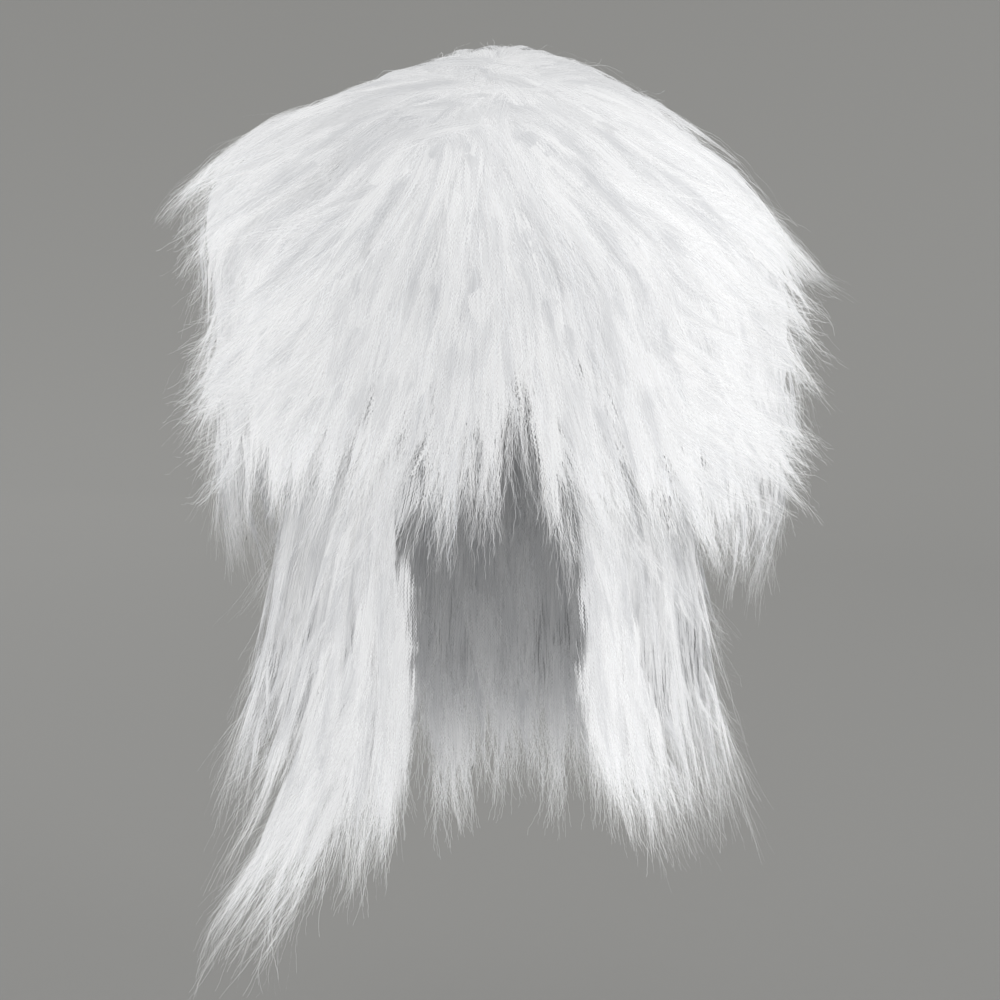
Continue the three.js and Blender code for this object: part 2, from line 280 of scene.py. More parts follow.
surveyed = {node: survey(node) for node in HAIR_LAYERS}
outer_face = {node: run_on(surveyed[node][0]) for node in HAIR_LAYERS}
inner_face = {node: run_on(surveyed[node][1]) for node in HAIR_LAYERS}
tip_along = {}
for node in HAIR_LAYERS:
    found = np.isfinite(surveyed[node][0])
    last = np.where(found.any(1), len(ALONGS) - 1 - np.argmax(found[:, ::-1], axis=1), 0) * ALONG_STEP
    held = np.flatnonzero(found.any(1))
    tip_along[node] = np.interp(AZIMUTHS, AZIMUTHS[held], last[held])
    print(node, "tips at", last[held].min().round(2), "to", last[held].max().round(2))

# %% [markdown]
# The crown, fringe, sides and back are separate layers, but hair falls over their joins and hides them.
# So one smooth face is laid over all of them, called the mantle here, and the upper hair is combed on that.
# Valleys between neighbours and ledges under them are bridged first.
# Then the whole face is smoothed both ways, on even steps of real length.
# A step of along won't do for that, because it is much longer on the crown than below it.
# At the sides it is then tucked in, because the outline there is a ruffle of tips that turn out from it.
# The long hair gets one such face too, for the locks that lie over its joins.
# The inner faces are kept as well, moved in by a few millimetres.
# They carry the hair that shows inside the open front.

# %% One mantle over the layers
MM = 0.001
VALLEY_STEPS = 6
LEDGE_STEPS = 12
BLUR_STEPS = 5
CROWN_ARC = 0.25
EVEN_STEP = 4 * MM
SIDE_TUCK = 5 * MM
SIDE_ARC = (0.9, 2.6)
SIDE_BLEND = 0.5
INSIDE_GAP = 3 * MM
MANTLE_NODES = ("crown_layer", "fringe", "side_right", "side_left", "back_layer")
LONG_NODES = ("long_right", "long_left", "long_back")


def blur(table, steps):
    """The table smoothed by a bell curve down each column."""
    offsets = np.arange(-3 * steps, 3 * steps + 1)
    weights = np.exp(-0.5 * (offsets / steps) ** 2)
    padded = np.pad(table, ((0, 0), (3 * steps,) * 2), mode="edge")
    return np.stack([np.convolve(column, weights / weights.sum(), "valid") for column in padded])


def fill_valleys(table, steps, axis):
    """The table with gaps between layers bridged: widened along one axis, then narrowed again."""
    turns = range(-steps, steps + 1)
    padded = np.pad(table, ((0, 0), (2 * steps,) * 2), mode="edge")
    wide = np.max([np.roll(padded, turn, axis) for turn in turns], axis=0)
    closed = np.min([np.roll(wide, turn, axis) for turn in turns], axis=0)
    return closed[:, 2 * steps:-2 * steps]


def ease(share):
    """A smooth step from 0 to 1."""
    share = np.clip(share, 0, 1)
    return share * share * (3 - 2 * share)


def round_mean(table, reach):
    """The table with each column averaged with its neighbours."""
    return np.mean([np.roll(table, turn, 0) for turn in range(-reach, reach + 1)], axis=0)


arc_run = np.where(ALONGS < 1, ALONGS * CROWN_ARC, CROWN_ARC + (ALONGS - 1) * DROP_PER_STEP)
even_run = np.arange(0, arc_run[-1], EVEN_STEP)
mantle_face = run_on(np.fmax.reduce([surveyed[node][0] for node in MANTLE_NODES]))
mantle_face = np.stack([np.interp(even_run, arc_run, column) for column in mantle_face])
mantle_face = fill_valleys(fill_valleys(mantle_face, VALLEY_STEPS, 0), LEDGE_STEPS, 1)
mantle_face = round_mean(blur(mantle_face, BLUR_STEPS), 3)
mantle_face = np.stack([np.interp(arc_run, even_run, column) for column in mantle_face])
round_side = np.abs(AZIMUTHS)
at_side = ease((round_side - SIDE_ARC[0]) / SIDE_BLEND) * ease((SIDE_ARC[1] - round_side) / SIDE_BLEND)
below_crown = ease((ALONGS - 0.65) / 0.4)
near_hem = ease((ALONGS - 1.9) / 0.5)
mantle_face -= SIDE_TUCK * at_side[:, None] * below_crown * (1 - 0.5 * near_hem)
long_face = run_on(np.fmax.reduce([surveyed[node][0] for node in LONG_NODES]))
long_face = round_mean(fill_valleys(long_face, VALLEY_STEPS, 0), 2)
faces = {**outer_face, "mantle": mantle_face, "long": long_face}
for node in LONG_NODES:
    faces[node + "_inside"] = inner_face[node] - INSIDE_GAP
print("mantle rises from", mantle_face.min().round(3), "to", mantle_face.max().round(3))

# %% [markdown]
# The hair is a white synthetic fibre, crimped so finely that it looks matt and full of air.
# Light goes through such a fibre as well as off it.
# So the finish mixes a translucent shader into the plain one.
# A strand's colour changes a little from one to the next, and a ribbon carries faint crimped lines along it.
# Each strand holds a shade, its own length and a distance across as an attribute.
# So the lines follow it wherever it is combed.

# %% Strand finish
COOL_WHITE = (0.89, 0.915, 0.95, 1)
CLEAN_WHITE = (0.945, 0.945, 0.945, 1)
WARM_WHITE = (0.955, 0.94, 0.91, 1)
CRIMP_LENGTH = 2.6 * MM
CRIMP_SWAY = 0.25 * MM
FIBRE_ACROSS = 0.7 * MM
FIBRE_ALONG = 30 * MM
FIBRE_TONES = (0.90, 1.02)
LIGHT_THROUGH = 0.2
NOISE_ENDS = (0.3, 0.7)


def add_node(tree, kind, **values):
    """A shader node with its settings, and its inputs by name, each a value or another node's output."""
    node = tree.nodes.new(kind)
    for name, value in values.items():
        if name not in node.inputs:
            setattr(node, name, value)
        elif isinstance(value, bpy.types.NodeSocket):
            tree.links.new(value, node.inputs[name])
        else:
            node.inputs[name].default_value = value
    return node


def add_maths(tree, operation, first, second):
    """A maths node on two values, each a socket or a number."""
    node = add_node(tree, "ShaderNodeMath", operation=operation)
    for socket, value in zip(node.inputs, (first, second)):
        if isinstance(value, (int, float)):
            socket.default_value = value
        else:
            tree.links.new(value, socket)
    return node.outputs[0]


def start_finish(name, roughness, gloss):
    """A new material, its node tree and its shader."""
    finish = bpy.data.materials.new(name)
    finish.use_nodes = True
    shader = finish.node_tree.nodes["Principled BSDF"]
    shader.inputs["Roughness"].default_value = roughness
    shader.inputs["Specular IOR Level"].default_value = gloss
    return finish, finish.node_tree, shader


def add_crimp(tree, run, step, sway):
    """A wave along a run, with the step and the sway given."""
    turns = add_maths(tree, "MULTIPLY", run, 2 * math.pi / step)
    return add_maths(tree, "MULTIPLY", add_maths(tree, "SINE", turns, 0.0), sway)


def add_range(tree, value, ends, becomes=(0, 1), **settings):
    """A value spread from the ends given to new ones."""
    spread = add_node(tree, "ShaderNodeMapRange", **settings)
    spread.inputs["From Min"].default_value = ends[0]
    spread.inputs["From Max"].default_value = ends[1]
    spread.inputs["To Min"].default_value = becomes[0]
    spread.inputs["To Max"].default_value = becomes[1]
    tree.links.new(value, spread.inputs["Value"])
    return spread.outputs[0]


strand_finish, tree, shader = start_finish("crimped_white_fibre", 0.55, 0.25)
strand_data = add_node(tree, "ShaderNodeAttribute", attribute_name="strand")
parts = add_node(tree, "ShaderNodeSeparateXYZ", Vector=strand_data.outputs["Vector"])
tints = add_node(tree, "ShaderNodeValToRGB", Fac=parts.outputs["X"])
tints.color_ramp.elements[0].color = COOL_WHITE
tints.color_ramp.elements[1].color = WARM_WHITE
tints.color_ramp.elements.new(0.4).color = CLEAN_WHITE
tints.color_ramp.elements.new(0.75).color = CLEAN_WHITE
sway = add_crimp(tree, parts.outputs["Y"], CRIMP_LENGTH, CRIMP_SWAY)
swayed = add_maths(tree, "ADD", parts.outputs["Z"], sway)
line_across = add_maths(tree, "DIVIDE", swayed, FIBRE_ACROSS)
line_along = add_maths(tree, "DIVIDE", parts.outputs["Y"], FIBRE_ALONG)
line_place = add_node(tree, "ShaderNodeCombineXYZ", X=line_across, Y=line_along)
fibres = add_node(tree, "ShaderNodeTexNoise", noise_dimensions="2D", Scale=1.0, Detail=2.0)
tree.links.new(line_place.outputs[0], fibres.inputs["Vector"])
tone = add_range(tree, fibres.outputs[0], NOISE_ENDS, FIBRE_TONES)
toned = add_node(tree, "ShaderNodeVectorMath", operation="SCALE")
tree.links.new(tints.outputs["Color"], toned.inputs[0])
tree.links.new(tone, toned.inputs["Scale"])
tree.links.new(toned.outputs[0], shader.inputs["Base Color"])
glow = add_node(tree, "ShaderNodeBsdfTranslucent", Color=toned.outputs[0])
blend = add_node(tree, "ShaderNodeMixShader")
blend.inputs[0].default_value = LIGHT_THROUGH
tree.links.new(shader.outputs[0], blend.inputs[1])
tree.links.new(glow.outputs[0], blend.inputs[2])
tree.links.new(blend.outputs[0], tree.nodes["Material Output"].inputs["Surface"])
print("strand finish has", len(tree.nodes), "nodes")

# %% [markdown]
# Under the strands lies the soft body of each layer: the hair too deep to see as single strands.
# Its finish is drawn in the flow and not in space, so its fibres run the way the hair does.
# Broad noise stands for locks, and thin long noise for fibres. Together they paint shade into the colour,
# from a cool shaded white between them to a lit white on them. Near the hem the fibres also mark the gaps.
# Towards the tips more and more gaps open, so a body frays into single fibres and has no hard edge.
# Near the whorl all the lines meet in one point, so there they fade out.

# %% Body finish
LOCKS_ROUND = 9.0
LOCK_STRETCH = 0.10
FIBRES_ROUND = 190.0
FIBRE_STRETCH = 0.022
CRIMP_STEP = 0.026
CRIMP_ASIDE = 0.0014
# Painted shade and light: the cool darker white stands for shade between locks and fibres, and the brighter
# one for lit hair.
SHADED_WHITE = (0.48, 0.488, 0.505, 1)
LIT_WHITE = (0.82, 0.82, 0.82, 1)
WHORL_FADE = (0.1, 0.8)
FRAY_ENDS = (0.54, 1.00)


def flow_noise(tree, place, around, stretch, detail):
    """Noise that is drawn out along the flow, spread to run from about 0 to 1."""
    drawn = add_node(tree, "ShaderNodeMapping", Scale=(1, 1, stretch), Vector=place)
    noise = add_node(tree, "ShaderNodeTexNoise", Scale=around, Detail=detail, Roughness=0.6)
    tree.links.new(drawn.outputs[0], noise.inputs["Vector"])
    return add_range(tree, noise.outputs["Fac"], NOISE_ENDS)


def mix_tones(tree, locks, fibres):
    """Both noises as one, the fibres a little stronger."""
    return add_maths(tree, "ADD", add_maths(tree, "MULTIPLY", locks, 0.45),
                     add_maths(tree, "MULTIPLY", fibres, 0.55))


def paint_tones(tree, shader, mixed):
    """Colours the hair from its shaded white to its lit white."""
    tones = add_node(tree, "ShaderNodeValToRGB", Fac=mixed)
    tones.color_ramp.elements[0].color = SHADED_WHITE
    tones.color_ramp.elements[1].position = 0.75
    tones.color_ramp.elements[1].color = LIT_WHITE
    tree.links.new(tones.outputs["Color"], shader.inputs["Base Color"])


def open_gaps(tree, shader, fibres, gaps, sharpness):
    """Keeps only the fibres that are stronger than the gaps."""
    solid = add_maths(tree, "MULTIPLY", add_maths(tree, "SUBTRACT", fibres, gaps), sharpness)
    kept = add_node(tree, "ShaderNodeClamp", Value=add_maths(tree, "ADD", solid, 0.5))
    tree.links.new(kept.outputs[0], shader.inputs["Alpha"])


body_finish, tree, shader = start_finish("combed_white_hair", 0.7, 0.15)
flow_data = add_node(tree, "ShaderNodeAttribute", attribute_name="flow")
hem_data = add_node(tree, "ShaderNodeAttribute", attribute_name="hem")
parts = add_node(tree, "ShaderNodeSeparateXYZ", Vector=flow_data.outputs["Vector"])
crimp = add_crimp(tree, parts.outputs["Z"], CRIMP_STEP, CRIMP_ASIDE)
aside = add_node(tree, "ShaderNodeVectorMath", operation="CROSS_PRODUCT")
aside.inputs[1].default_value = (0, 0, 1)
tree.links.new(flow_data.outputs["Vector"], aside.inputs[0])
swayed = add_node(tree, "ShaderNodeVectorMath", operation="SCALE")
tree.links.new(aside.outputs[0], swayed.inputs[0])
tree.links.new(crimp, swayed.inputs["Scale"])
crimped = add_node(tree, "ShaderNodeVectorMath", operation="ADD")
tree.links.new(flow_data.outputs["Vector"], crimped.inputs[0])
tree.links.new(swayed.outputs[0], crimped.inputs[1])
locks = flow_noise(tree, crimped.outputs[0], LOCKS_ROUND, LOCK_STRETCH, 2.0)
fibres = flow_noise(tree, crimped.outputs[0], FIBRES_ROUND, FIBRE_STRETCH, 2.0)
from_whorl = add_range(tree, parts.outputs["Z"], WHORL_FADE, interpolation_type="SMOOTHSTEP")
off_mean = add_maths(tree, "SUBTRACT", mix_tones(tree, locks, fibres), 0.5)
both = add_maths(tree, "ADD", add_maths(tree, "MULTIPLY", off_mean, from_whorl), 0.5)
paint_tones(tree, shader, both)
ridges = add_node(tree, "ShaderNodeBump", Strength=0.5, Distance=0.0012, Height=both)
tree.links.new(ridges.outputs[0], shader.inputs["Normal"])
fray = add_range(tree, hem_data.outputs["Fac"], FRAY_ENDS, clamp=False)
gaps = add_maths(tree, "ADD", fray, add_maths(tree, "MULTIPLY", locks, -0.45))
open_gaps(tree, shader, fibres, gaps, 6.0)
print("body finish has", len(tree.nodes), "nodes")

# %% [markdown]
# Between the soft bodies and the single strands come the locks.
# Each is one thin curved sheet, broad at its root, and drawn with the same fine crimped fibres as a body.
# Gaps open between the fibres along its sides, at its root and over its lower half.
# So only loose fibres reach its tip.
# Each point of the sheet says how open it is, and the finish keeps the fibres that are stronger than that.

# %% Lock finish
LOCK_FIBRE_ACROSS = 0.5 * MM
LOCK_FIBRE_ALONG = 30 * MM

lock_finish, tree, shader = start_finish("frayed_white_lock", 0.7, 0.15)
sheet_data = add_node(tree, "ShaderNodeAttribute", attribute_name="sheet")
open_data = add_node(tree, "ShaderNodeAttribute", attribute_name="open")
parts = add_node(tree, "ShaderNodeSeparateXYZ", Vector=sheet_data.outputs["Vector"])
sway = add_crimp(tree, parts.outputs["Y"], CRIMP_LENGTH, CRIMP_SWAY)
swayed = add_maths(tree, "ADD", parts.outputs["X"], sway)
line_across = add_maths(tree, "DIVIDE", swayed, LOCK_FIBRE_ACROSS)
line_along = add_maths(tree, "DIVIDE", parts.outputs["Y"], LOCK_FIBRE_ALONG)
line_place = add_node(tree, "ShaderNodeCombineXYZ", X=line_across, Y=line_along)
fibres = flow_noise(tree, line_place.outputs[0], 1.0, 1.0, 1.0)
# A lock's own shade number and its fibres paint shade into its colour, between the same shaded and lit whites
# as a body.
paint_tones(tree, shader, mix_tones(tree, parts.outputs["Z"], fibres))
open_gaps(tree, shader, fibres, open_data.outputs["Fac"], 4.0)
print("lock finish has", len(tree.nodes), "nodes")

# %% [markdown]
# Each body starts as a copy of its solid, because the copy already has the right outline.
# Its loose triangles are merged, and one level of subdivision rounds the facets off.
# Then the outer face sinks by a millimetre or two, and further towards the tips.
# Shallow ridges run down it like locks.
# The upper bodies lie under the mantle, and the sides, fringe and back tuck under the crown.
# Where two of them meet, each reaches a little past the other and dives under it, so no gap opens.
# Both faces are shaded straight out from the head, which hides the joins and keeps the light soft.
# From the whorl the hair at the front also drifts outwards as it falls.
# So the fringe has no parting from the sides.

# %% Soften the bodies
BODY_SINK = 1.5 * MM
HEM_SINK = 6 * MM
CROWN_TUCK = 5 * MM
LOWEST_BODY = 4 * MM
BODY_REACH = 0.97
RIDGE_DEPTH = 1.2 * MM
OVERLAP = math.radians(8)
END_DIVE = 4 * MM
DIVE_FROM = 0.75
END_FROM = 0.88
LONG_END = math.radians(126)
TIP_COLUMNS = 4
DRIFT = math.radians(26)
WAVES = ((19, 0.4, 1.3), (29, 1.9, 0.9), (37, 4.1, 1.7), (47, 2.7, 1.1))
ARC_MIDDLES = {
    "fringe": 0,
    "side_right": math.radians(-93),
    "side_left": math.radians(93),
    "back_layer": math.pi,
}
pieces = []


def take(piece, node=None):
    """Puts a finished piece on the wig's one body, standing for a layer if it replaces one."""
    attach(piece, "root")
    if node:
        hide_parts(node)
    pieces.append(piece)


def smooth_copy(node, name):
    """A merged and rounded copy of one of the frame's solids."""
    bpy.ops.object.select_all(action="DESELECT")
    piece = bpy.data.objects.new(name, nodes[node].data.copy())
    bpy.context.collection.objects.link(piece)
    bpy.context.view_layer.objects.active = piece
    piece.select_set(True)
    piece.data.materials.clear()
    bpy.ops.object.mode_set(mode="EDIT")
    bpy.ops.mesh.select_all(action="SELECT")
    bpy.ops.mesh.remove_doubles(threshold=1e-5)
    bpy.ops.object.mode_set(mode="OBJECT")
    rounded = piece.modifiers.new("rounded", "SUBSURF")
    rounded.levels = 1
    rounded.render_levels = 1
    bpy.ops.object.modifier_apply(modifier=rounded.name)
    bpy.ops.object.shade_smooth()
    return piece


def places_of(mesh):
    """A mesh's points as an array."""
    places = np.empty(len(mesh.vertices) * 3)
    mesh.vertices.foreach_get("co", places)
    return places.reshape(-1, 3)


def store_flow(mesh, azimuth, along):
    """Keeps the flow on each point for the finish to read."""
    flow = mesh.attributes.new("flow", "FLOAT_VECTOR", "POINT")
    values = np.stack((np.sin(azimuth), -np.cos(azimuth), along), 1)
    flow.data.foreach_set("vector", values.ravel())


def wrap(azimuth):
    """Azimuths from the back round the front to the back again."""
    return (azimuth + math.pi) % (2 * math.pi) - math.pi


def drift_most(azimuth):
    """The whole drift of hair that ends at an azimuth: none at the middle, the sides or the back."""
    wrapped = wrap(azimuth)
    return DRIFT * np.sin(2 * wrapped) * (np.abs(wrapped) < math.pi / 2)


def drift_share(along):
    """How much of its drift the hair has made by then: most beside the face, and little below it."""
    return np.clip((along - 0.6) / 1.5, 0, 1.3) + 0.12 * np.maximum(along - 2.55, 0)


def ridges_at(azimuth, along):
    """Waves of several widths round the head that wander as they go down it."""
    total = 0
    for number, phase, pace in WAVES:
        total = total + np.sin(number * azimuth + phase + 0.9 * np.sin(pace * along + 2 * phase))
    return total / 2


def least_near(table, columns):
    """The least of each column's value and its neighbours'."""
    return np.min([np.roll(table, turn) for turn in range(-columns, columns + 1)], axis=0)


for node in HAIR_LAYERS:
    body = smooth_copy(node, node + "_body")
    azimuth, along, rise = flow_of(places_of(body.data))
    outer = look_up(outer_face[node], azimuth, along)
    inner = look_up(inner_face[node], azimuth, along)
    below = np.clip(outer - rise, 0, np.maximum(outer - inner, 0))
    side = np.where(below < 0.5 * (outer - inner), 1, -1)
    root = along.min()
    wrapped = wrap(azimuth)
    near_tip = least_near(tip_along[node], TIP_COLUMNS)
    hem = (along - root) / (np.interp(wrapped, AZIMUTHS, near_tip) - root)
    along = root + (along - root) * BODY_REACH
    dive = 0
    if node in ARC_MIDDLES:
        aside = wrap(azimuth - ARC_MIDDLES[node])
        aside = aside / np.abs(aside).max()
        side = np.where(np.abs(aside) > END_FROM, 1, side)
        azimuth = azimuth + OVERLAP * aside
        dive = END_DIVE * ease((np.abs(aside) - DIVE_FROM) / (1 - DIVE_FROM))
    elif node in ("long_right", "long_left"):
        side = np.where(np.abs(wrapped) > LONG_END, 1, side)
    top = faces["mantle"] if node in MANTLE_NODES else outer_face[node]
    outer = look_up(top, azimuth, along)
    inner = look_up(inner_face[node], azimuth, along)
    tuck = 0
    if node == "crown_layer":
        tuck = CROWN_TUCK * ease((along - 0.35) / 0.65)
    elif node in MANTLE_NODES:
        tuck = CROWN_TUCK * (1 - ease((along - 0.2) / 0.65))
    line = azimuth - drift_most(azimuth) * drift_share(along)
    sink = BODY_SINK + HEM_SINK * ease(hem * 2 - 1) + tuck + dive
    sink = sink + RIDGE_DEPTH * (1 + ridges_at(line, along)) * ease(along / 0.5)
    lowest = np.minimum(inner, outer - BODY_SINK) if node != "crown_layer" else LOWEST_BODY
    rise = np.maximum(outer - sink - below, lowest)
    drawn_in, out = flow_points(azimuth, along, rise)
    body.data.vertices.foreach_set("co", drawn_in.ravel())
    body.data.normals_split_custom_set_from_vertices(out * side[:, None])
    store_flow(body.data, line, along)
    body.data.attributes.new("hem", "FLOAT", "POINT").data.foreach_set("value", hem)
    body.data.materials.append(body_finish)
    take(body, node)
    print(body.name, len(body.data.polygons), "faces")

# %% [markdown]
# Hair lies in locks. A lock leaves the head as a broad bundle, and its strands draw together towards its tip.
# Each row of this table is one part of the hair.
# It names the face that the locks lie on and the layer that sets their tips.
# Then come the arc in degrees, where the first roots are, how far a lock runs and how many locks there are.
# Edge is the share of the locks that end at the layer's hem. The others end all over it, which feathers it.
# Lift is how far the tips turn out and spread how broad the bundle is, both in millimetres.
# Gather is how much of that breadth is left at the tip.

# %% [markdown]
# Some rows say more in their last cell. Reach is where on the hem, or past it, a lock ends.
# Strands counts the fine strands of a lock at the hem and of any other, and start says where they begin.
# Sunk is how deep the lock lies. Loose is how freely its strands leave it. Solid keeps its tip from fraying.
# Swing turns its lower end round the head, in degrees, and meet draws all the tips towards one azimuth.
# A row that names a hand is laid on the right side, and then mirrored to the left.
# Seams and napes cover the joins between layers, and ruffles make the ragged outline.
# The tress is the long point of hair on the right.

# %% Plan of the locks
COLUMNS = ("part", "face", "tips", "arc", "first", "run", "edge", "locks", "lift", "spread", "gather")
LOCK_ROWS = (
    ("fringe", "mantle", "fringe", (-50, 50), 0.03, (0.8, 1.4), 0.55, 170, (1, 2), 8, 0.4,
     {"reach": (1.02, 1.2), "strands": (20, 10)}),
    ("mane_HAND", "mantle", "side_HAND", (44, 138), 0.03, (0.5, 1.0), 0.36, 140, (6, 4), 10, 0.4,
     {"reach": (0.98, 1.07), "sunk": (-3, 4)}),
    ("mane_back", "mantle", "back_layer", (136, 224), 0.03, (0.7, 1.2), 0.36, 130, (4, 4), 10, 0.4, {}),
    ("whorl", "mantle", "crown_layer", (-180, 180), -0.4, (0.5, 0.8), 0.0, 90, (2, 2), 11, 0.6,
     {"strands": (0, 2)}),
    ("seam_HAND", "mantle", "side_HAND", (40, 78), 0.7, (0.6, 0.9), 0.1, 80, (3, 2), 10, 0.45,
     {"strands": (6, 2)}),
    ("seam_back_HAND", "mantle", "back_layer", (124, 150), 0.8, (0.6, 0.9), 0.15, 44, (4, 3), 10, 0.45,
     {"strands": (8, 3)}),
    ("ruffle_back", "mantle", "back_layer", (128, 232), 0.4, (0.3, 0.6), 0.0, 110, (6, 3), 9, 0.32,
     {"strands": (0, 5), "loose": 2, "start": (0.0, 0.5)}),
    ("ruffle_front", "mantle", "fringe", (-60, 60), 0.3, (0.4, 0.7), 0.0, 60, (4, 2), 8, 0.35,
     {"strands": (0, 5), "loose": 2, "start": (0.0, 0.5)}),
    ("hem_right", "mantle", "side_right", (-54, -106), 1.1, (0.7, 1.0), 0.6, 30, (6, 4), 9, 0.35,
     {"strands": (8, 4)}),
    ("flick_HAND", "crown_layer", "crown_layer", (70, 125), 0.3, (0.4, 0.7), 0.7, 40, (3, 2), 9, 0.4,
     {"strands": (30, 14), "loose": 2}),
    ("ruffle_HAND", "mantle", "side_HAND", (42, 124), 0.42, (0.36, 0.66), 0.0, 130, (14, 4), 8, 0.3,
     {"strands": (0, 15), "loose": 4, "start": (0.0, 0.5), "swing": (12, 6), "solid": 0.25}),
    ("long_right", "long_right", "long_right", (-40, -136), 1.5, (0.9, 1.6), 0.45, 115, (5, 5), 12, 0.32, {}),
    ("long_left", "long_left", "long_left", (40, 136), 1.5, (0.9, 1.6), 0.45, 105, (5, 5), 12, 0.32, {}),
    ("long_back", "long_back", "long_back", (137, 223), 1.5, (0.9, 1.6), 0.4, 85, (5, 5), 12, 0.32, {}),
    ("tail_HAND", "long_HAND", "long_HAND", (56, 130), 2.2, (0.4, 0.8), 0.0, 50, (9, 4), 9, 0.3,
     {"strands": (0, 12), "loose": 4}),
    ("nape_HAND", "long", "long_back", (122, 150), 1.8, (0.8, 1.3), 0.15, 46, (4, 2), 12, 0.45,
     {"strands": (8, 2), "sunk": (-3, 1), "solid": 0.35}),
    ("tress_right", "long_right", "long_right", (-58, -76), 2.6, (1.2, 1.9), 1.0, 26, (4, 2), 12, 0.18,
     {"strands": (14, 0), "reach": (0.9, 1.02), "swing": (0, 2), "meet": -73, "solid": 0.4}),
    ("inner_back", "long_back_inside", "long_back", (130, 230), 1.5, (0.9, 1.5), 0.35, 55, (0, 2), 11, 0.4,
     {"strands": (11, 3)}),
    ("inner_HAND", "long_HAND_inside", "long_HAND", (46, 132), 2.2, (0.9, 1.5), 0.3, 30, (0, 2), 11, 0.4, {}),
)


def for_hands(cells):
    """A row of the table by its columns, or two of them, right and left, where it names a hand."""
    row = {**dict(zip(COLUMNS, cells)), **cells[-1]}
    if "HAND" not in row["part"]:
        return [row]
    pair = []
    for hand, way in (("right", -1), ("left", 1)):
        own = dict(row)
        for key in ("part", "face", "tips"):
            own[key] = row[key].replace("HAND", hand)
        own["arc"] = (way * row["arc"][0], way * row["arc"][1])
        if "swing" in row:
            own["swing"] = (way * row["swing"][0], row["swing"][1])
        pair.append(own)
    return pair


LOCK_PLAN = [row for cells in LOCK_ROWS for row in for_hands(cells)]
FINE = {"strands": (17, 4), "rings": 20, "width": 0.17, "slim": 0.45, "crimp": 0.26, "depth": (-1.5, 1.0),
        "start": (0.35, 0.70), "end": (0.86, 1.10), "stray": 0.20}
print("locks", sum(row["locks"] for row in LOCK_PLAN))

# %% [markdown]
# A strand is a narrow ribbon, flat like the crimped fibre, of two rows of points.
# Nearly twenty thousand of them are far too many to model by hand.
# So their points are worked out as arrays, and each part of the hair becomes one joined mesh.
# Each point takes its shading direction from the soft mass that it lies on, and not from its own thin ribbon.
# That is why the hair looks like one fluffy surface and not like a heap of blades.
# White fibres this fine also pass nearly all light on to their neighbours.
# So they neither shade nor tint each other.
# Every ribbon gets its own small cell of the UV map, so that baked colours don't run from one to the next.

# %% Ribbon meshes
STRAND_APART = 0.02


def unit(vectors):
    """Vectors at length 1."""
    return vectors / np.maximum(np.linalg.norm(vectors, axis=-1), 1e-9)[..., None]


def lengths_of(lines):
    """The length run at each point of each line."""
    steps = np.linalg.norm(np.diff(lines, axis=1), axis=-1)
    return np.concatenate((np.zeros((len(lines), 1)), np.cumsum(steps, 1)), 1)


def grid_mesh(name, points, facing, finish):
    """One mesh of many grids of points, each (rows, columns), shaded as if it faced the ways given."""
    count, rows, columns = points.shape[:3]
    index = np.arange(count * rows * columns).reshape(count, rows, columns)
    corners = (index[:, :-1, :-1], index[:, :-1, 1:], index[:, 1:, 1:], index[:, 1:, :-1])
    quads = np.stack(corners, -1).reshape(-1, 4)
    mesh = bpy.data.meshes.new(name)
    mesh.vertices.add(index.size)
    mesh.vertices.foreach_set("co", points.ravel())
    mesh.loops.add(quads.size)
    mesh.loops.foreach_set("vertex_index", quads.ravel())
    mesh.polygons.add(len(quads))
    mesh.polygons.foreach_set("loop_start", np.arange(len(quads)) * 4)
    mesh.polygons.foreach_set("use_smooth", np.ones(len(quads), bool))
    mesh.update()
    cells = math.ceil(math.sqrt(count))
    corner = np.stack((np.arange(count) % cells, np.arange(count) // cells), -1)[:, None, None, :]
    spots = np.stack(np.meshgrid(np.linspace(0.15, 0.85, columns), np.linspace(0.1, 0.9, rows)), -1)
    uv = ((corner + spots) / cells).reshape(-1, 2)
    mesh.uv_layers.new(name="OFBake").data.foreach_set("uv", uv[quads.ravel()].ravel())
    mesh.normals_split_custom_set_from_vertices(facing.reshape(-1, 3))
    mesh.materials.append(finish)
    piece = bpy.data.objects.new(name, mesh)
    bpy.context.collection.objects.link(piece)
    piece.visible_shadow = False
    piece.visible_diffuse = False
    return piece


def store(piece, name, values):
    """Keeps a number or a vector on each point for the finish to read."""
    kind, field = ("FLOAT_VECTOR", "vector") if values.ndim == 4 else ("FLOAT", "value")
    piece.data.attributes.new(name, kind, "POINT").data.foreach_set(field, values.ravel())


def ribbon_mesh(name, lines, across, facing, width, shade):
    """One mesh of ribbons along lines of points, each as wide as given."""
    half = across * (width / 2)[..., None]
    points = np.stack((lines - half, lines + half), 2)
    piece = grid_mesh(name, points, np.repeat(facing[:, :, None], 2, 2), strand_finish)
    data = np.zeros(lines.shape[:2] + (2, 3))
    data[..., 0] = shade[:, None, None]
    data[..., 1] = lengths_of(lines)[..., None]
    apart = np.arange(len(lines))[:, None] * STRAND_APART
    data[..., 2] = np.stack((apart - width / 2, apart + width / 2), -1)
    store(piece, "strand", data)
    return piece


print("a strand has", 2 * (FINE["rings"] - 1), "triangles")

# %% [markdown]
# Combing starts with the locks. Each gets an azimuth, a tip, a root, a depth and a swing of its own.
# Its middle line runs from root to tip on the face of its part of the hair.
# It turns out a little at the tip.
# Five rows of points beside that line make its sheet, with the sides lower than the middle, like a roof tile.

# %% Lay the locks
ROOT_DIVE = 5 * MM
LOWEST_RISE = 5 * MM
FRONT_CROWD = 1.35
WHORL_SCATTER = 11 * MM
SHEET_RINGS = 10
SHEET_ASIDE = np.linspace(-1, 1, 5)
SHEET_ROUND = 0.28
LOCK_ROUND = 0.35


